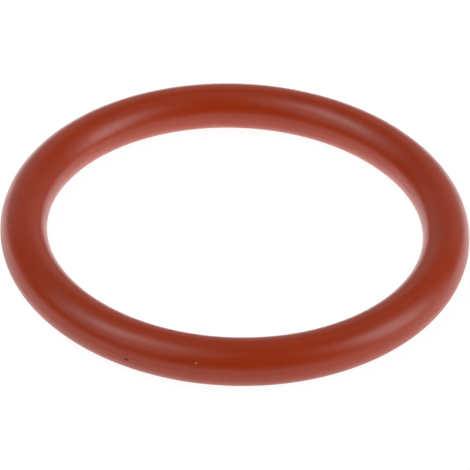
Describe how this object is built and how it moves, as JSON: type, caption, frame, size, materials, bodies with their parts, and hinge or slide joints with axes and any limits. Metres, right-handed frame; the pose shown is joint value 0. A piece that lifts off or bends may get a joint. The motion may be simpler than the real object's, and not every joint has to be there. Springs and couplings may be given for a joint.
{
  "type": "silicone o-ring",
  "caption": "Endless round-section ring moulded in red-brown silicone rubber, with a trimmed parting line inside and outside.",
  "frame": {"origin": "centre of the ring, on the parting plane that halves its section", "axes": "+Z along the ring's axis, up as it lies flat; the part is the same all the way round and upside down"},
  "size_m": [0.0302, 0.0302, 0.003],
  "materials": {
    "silicone": "satin"
  },
  "bodies": {
    "root": {"o_ring": "silicone"}
  },
  "joints": []
}
